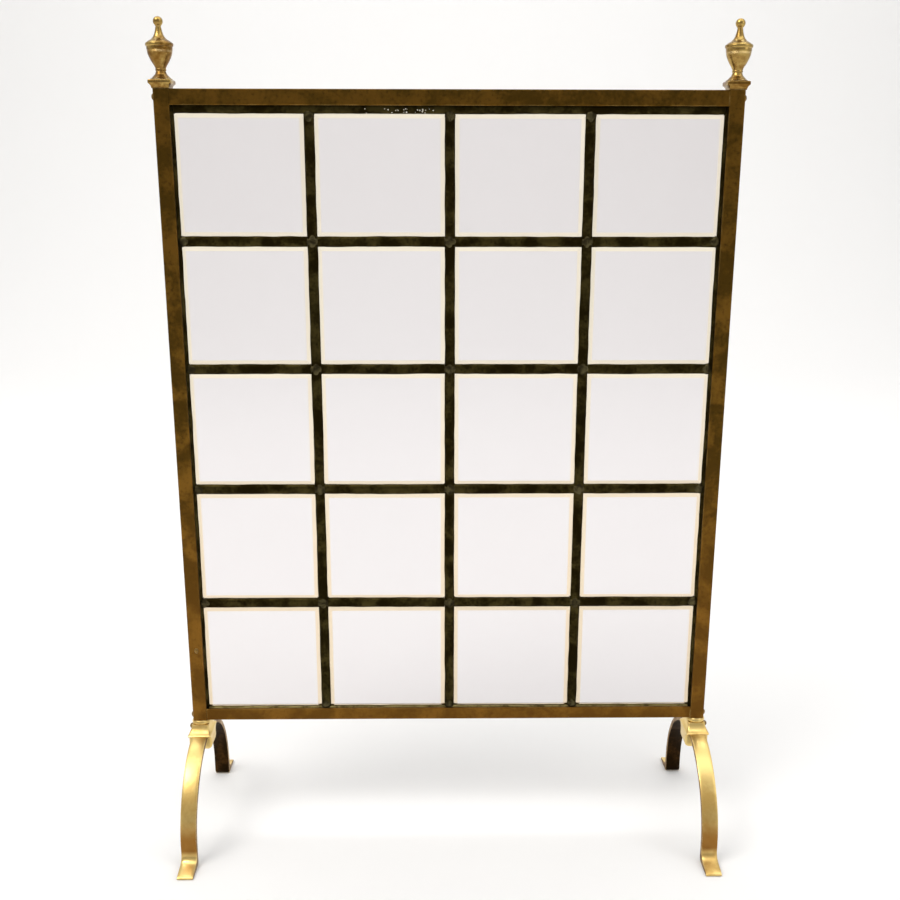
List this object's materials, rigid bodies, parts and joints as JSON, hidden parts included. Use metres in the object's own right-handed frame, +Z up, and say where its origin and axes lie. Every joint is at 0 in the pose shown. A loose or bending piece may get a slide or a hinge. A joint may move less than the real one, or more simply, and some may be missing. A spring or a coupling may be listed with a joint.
{
  "type": "fireplace screen",
  "caption": "Free-standing leaded fire screen: bevelled clear panes in dark cames, held in a square brass frame with urn finials and arched strap feet.",
  "frame": {"origin": "on the floor, in the middle of the screen's footprint", "axes": "+Z up, +X along the screen to the right as seen from its bevelled front, -Y towards the viewer in front"},
  "size_m": [0.4854, 0.195, 0.7172],
  "materials": {
    "frame_brass": "aged, browned, worn lighter on the edges",
    "finial_brass": "satin, darkened in the hollows",
    "foot_brass": "satin, lightly tarnished",
    "screw_brass": "tarnished",
    "plug_brass": "unpolished, hidden",
    "hidden_steel": "threaded rod, hidden",
    "lead_came": "dark oxidised lead",
    "solder": "dull grey solder, lumpy",
    "bevelled_glass": "clear, polished, bevelled"
  },
  "bodies": {
    "root": {"bottom_rail": "frame_brass", "bottom_rail_plugs": "plug_brass", "bottom_rail_screws": "screw_brass", "came_border_bottom": "lead_came", "came_border_left": "lead_came", "came_border_right": "lead_came", "came_border_top": "lead_came", "came_column_1": "lead_came", "came_column_2": "lead_came", "came_column_3": "lead_came", "came_row_1": "lead_came", "came_row_2": "lead_came", "came_row_3": "lead_came", "came_row_4": "lead_came", "hub_screws": "screw_brass", "left_collar": "foot_brass", "left_finial_plinth": "finial_brass", "left_finial_stud": "hidden_steel", "left_finial_urn": "finial_brass", "left_foot_arch": "foot_brass", "left_foot_stud": "hidden_steel", "left_hub": "foot_brass", "left_post": "frame_brass", "pane_r1_c1": "bevelled_glass", "pane_r1_c2": "bevelled_glass", "pane_r1_c3": "bevelled_glass", "pane_r1_c4": "bevelled_glass", "pane_r2_c1": "bevelled_glass", "pane_r2_c2": "bevelled_glass", "pane_r2_c3": "bevelled_glass", "pane_r2_c4": "bevelled_glass", "pane_r3_c1": "bevelled_glass", "pane_r3_c2": "bevelled_glass", "pane_r3_c3": "bevelled_glass", "pane_r3_c4": "bevelled_glass", "pane_r4_c1": "bevelled_glass", "pane_r4_c2": "bevelled_glass", "pane_r4_c3": "bevelled_glass", "pane_r4_c4": "bevelled_glass", "pane_r5_c1": "bevelled_glass", "pane_r5_c2": "bevelled_glass", "pane_r5_c3": "bevelled_glass", "pane_r5_c4": "bevelled_glass", "post_bottom_plugs": "plug_brass", "post_top_plugs": "plug_brass", "right_collar": "foot_brass", "right_finial_plinth": "finial_brass", "right_finial_stud": "hidden_steel", "right_finial_urn": "finial_brass", "right_foot_arch": "foot_brass", "right_foot_stud": "hidden_steel", "right_hub": "foot_brass", "right_post": "frame_brass", "solder_back": "solder", "solder_front": "solder", "top_rail": "frame_brass", "top_rail_plugs": "plug_brass", "top_rail_screws": "screw_brass"}
  },
  "joints": []
}
